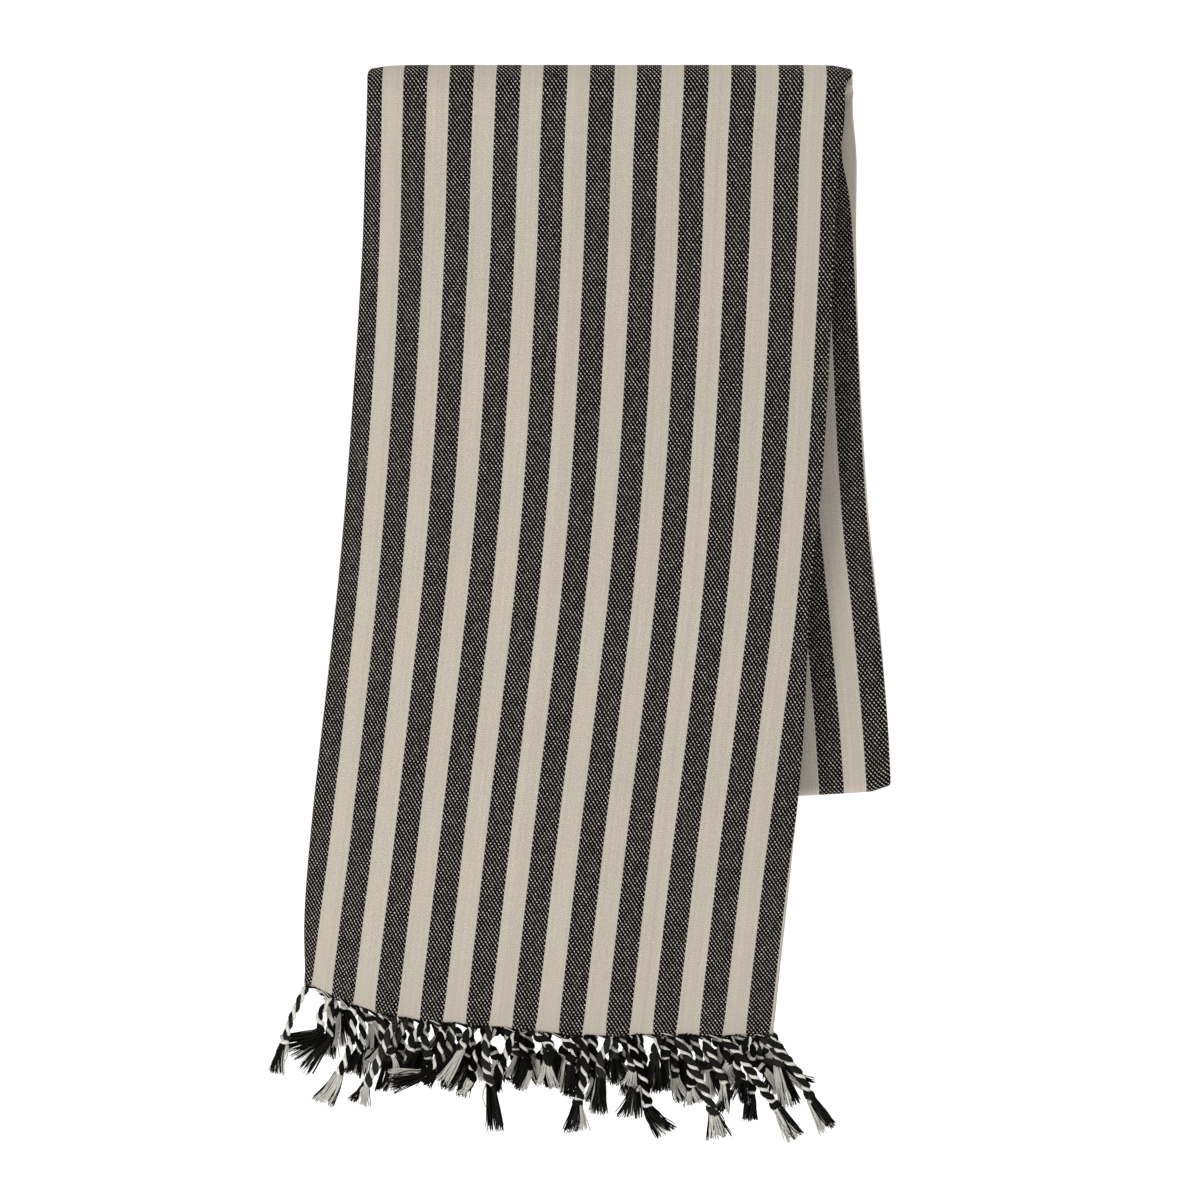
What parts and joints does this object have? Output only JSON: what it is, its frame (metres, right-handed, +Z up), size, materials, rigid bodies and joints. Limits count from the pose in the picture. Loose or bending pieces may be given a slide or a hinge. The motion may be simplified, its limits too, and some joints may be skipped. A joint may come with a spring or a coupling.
{
  "type": "hammam towel",
  "caption": "Striped cotton hammam towel folded in its width and length, hung askew over a rail with its knotted fringes at the front",
  "frame": {"origin": "the rail's bearing line: the underside of the folded bundle over the rail, at the bundle's mid-width", "axes": "+X along the rail to the viewer's right, -Y towards the viewer, +Z up"},
  "size_m": [0.3294, 0.0458, 0.5637],
  "materials": {
    "striped_cotton": "matt plain-woven cotton in even off-white and near-black stripes",
    "twisted_cotton_a": "matt two-ply twisted and knotted warp ends, black and off-white",
    "twisted_cotton_b": "matt two-ply twisted and knotted warp ends, black and off-white"
  },
  "bodies": {
    "root": {"cloth": "striped_cotton", "fringe_end_a": "twisted_cotton_a", "fringe_end_b": "twisted_cotton_b"}
  },
  "joints": []
}
